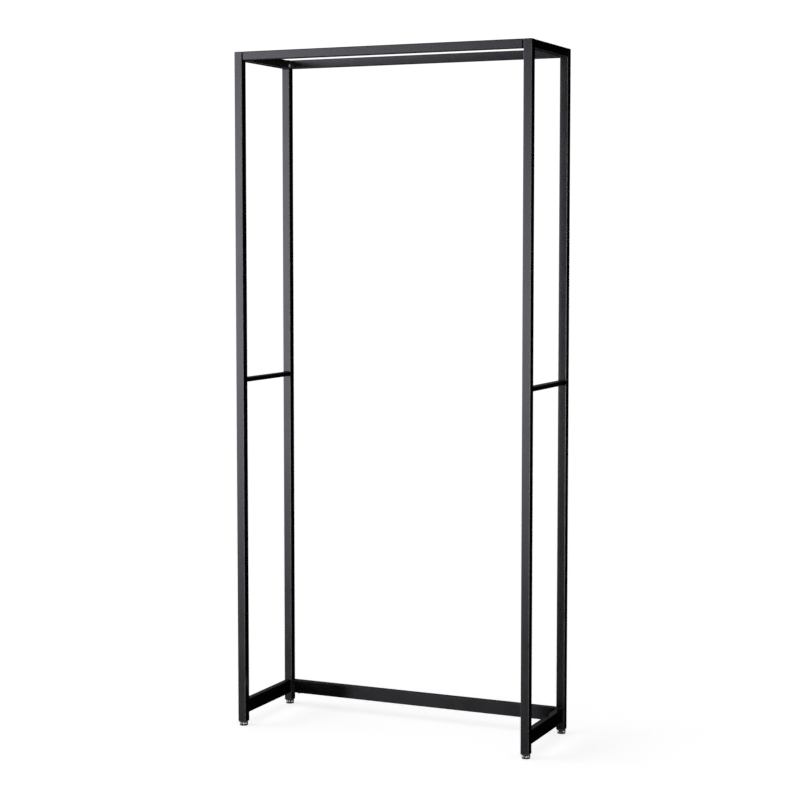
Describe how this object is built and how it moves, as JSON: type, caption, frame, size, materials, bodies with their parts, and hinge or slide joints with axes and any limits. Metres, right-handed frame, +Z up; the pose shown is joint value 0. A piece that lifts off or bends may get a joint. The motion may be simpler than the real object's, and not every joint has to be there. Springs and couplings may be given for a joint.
{
  "type": "garment rack",
  "caption": "Tall rectangular open-frame garment rack of black square steel tube with hanging rails along the top and screw levelling feet.",
  "frame": {"origin": "on the floor, at the middle of the rack's footprint", "axes": "+X to the right seen from the front, +Y from the front to the back, +Z up"},
  "size_m": [0.926, 0.324, 2],
  "materials": {
    "black_coat": "satin black powder coat",
    "zinc_steel": "bright zinc plate",
    "black_oxide": "black screws",
    "foot_chrome": "bright plate",
    "black_plastic": "moulded black nylon",
    "glide_pad": "black nylon glide"
  },
  "bodies": {
    "frame": {"bottom_back_rail": "black_coat", "bottom_back_spigot_left": "black_coat", "bottom_back_spigot_right": "black_coat", "bottom_rail_screws": "black_oxide", "bottom_rail_weld_nuts": "zinc_steel", "bottom_side_rail_left": "black_coat", "bottom_side_rail_right": "black_coat", "foot_nut_back_left": "zinc_steel", "foot_nut_back_right": "zinc_steel", "foot_nut_front_left": "zinc_steel", "foot_nut_front_right": "zinc_steel", "foot_plug_back_left": "black_plastic", "foot_plug_back_right": "black_plastic", "foot_plug_front_left": "black_plastic", "foot_plug_front_right": "black_plastic", "mid_bar_left": "black_coat", "mid_bar_right": "black_coat", "post_back_left": "black_coat", "post_back_right": "black_coat", "post_cap_back_left": "black_coat", "post_cap_back_right": "black_coat", "post_cap_front_left": "black_coat", "post_cap_front_right": "black_coat", "post_front_left": "black_coat", "post_front_right": "black_coat", "top_back_rail": "black_coat", "top_back_rail_plate_left": "black_coat", "top_back_rail_plate_right": "black_coat", "top_front_rail": "black_coat", "top_front_rail_plate_left": "black_coat", "top_front_rail_plate_right": "black_coat", "top_rail_screws": "zinc_steel", "top_rail_weld_nuts": "zinc_steel", "top_side_rail_left": "black_coat", "top_side_rail_right": "black_coat"},
    "foot_pad_front_left": {"foot_pad_front_left": "glide_pad"},
    "foot_screw_front_left": {"foot_stud_front_left": "zinc_steel", "foot_cup_front_left": "foot_chrome"},
    "foot_pad_front_right": {"foot_pad_front_right": "glide_pad"},
    "foot_screw_front_right": {"foot_stud_front_right": "zinc_steel", "foot_cup_front_right": "foot_chrome"},
    "foot_pad_back_left": {"foot_pad_back_left": "glide_pad"},
    "foot_screw_back_left": {"foot_stud_back_left": "zinc_steel", "foot_cup_back_left": "foot_chrome"},
    "foot_pad_back_right": {"foot_pad_back_right": "glide_pad"},
    "foot_screw_back_right": {"foot_stud_back_right": "zinc_steel", "foot_cup_back_right": "foot_chrome"}
  },
  "joints": [
    {"name": "foot_lift_front_left", "type": "slide", "parent": "frame", "child": "foot_pad_front_left", "axis": [0, 0, -1], "range_m": [0, 0.015]},
    {"name": "foot_turn_front_left", "type": "hinge", "parent": "foot_pad_front_left", "child": "foot_screw_front_left", "pos_m": [-0.4505, -0.1495, 0], "axis": [0, 0, -1], "range_deg": [0, 4320]},
    {"name": "foot_lift_front_right", "type": "slide", "parent": "frame", "child": "foot_pad_front_right", "axis": [0, 0, -1], "range_m": [0, 0.015]},
    {"name": "foot_turn_front_right", "type": "hinge", "parent": "foot_pad_front_right", "child": "foot_screw_front_right", "pos_m": [0.4505, -0.1495, 0], "axis": [0, 0, -1], "range_deg": [0, 4320]},
    {"name": "foot_lift_back_left", "type": "slide", "parent": "frame", "child": "foot_pad_back_left", "axis": [0, 0, -1], "range_m": [0, 0.015]},
    {"name": "foot_turn_back_left", "type": "hinge", "parent": "foot_pad_back_left", "child": "foot_screw_back_left", "pos_m": [-0.4505, 0.1495, 0], "axis": [0, 0, -1], "range_deg": [0, 4320]},
    {"name": "foot_lift_back_right", "type": "slide", "parent": "frame", "child": "foot_pad_back_right", "axis": [0, 0, -1], "range_m": [0, 0.015]},
    {"name": "foot_turn_back_right", "type": "hinge", "parent": "foot_pad_back_right", "child": "foot_screw_back_right", "pos_m": [0.4505, 0.1495, 0], "axis": [0, 0, -1], "range_deg": [0, 4320]}
  ],
  "couplings": [
    {"joint": "foot_lift_front_left", "follows": "foot_turn_front_left", "m_per_rad": 0.00019894},
    {"joint": "foot_lift_front_right", "follows": "foot_turn_front_right", "m_per_rad": 0.00019894},
    {"joint": "foot_lift_back_left", "follows": "foot_turn_back_left", "m_per_rad": 0.00019894},
    {"joint": "foot_lift_back_right", "follows": "foot_turn_back_right", "m_per_rad": 0.00019894}
  ]
}
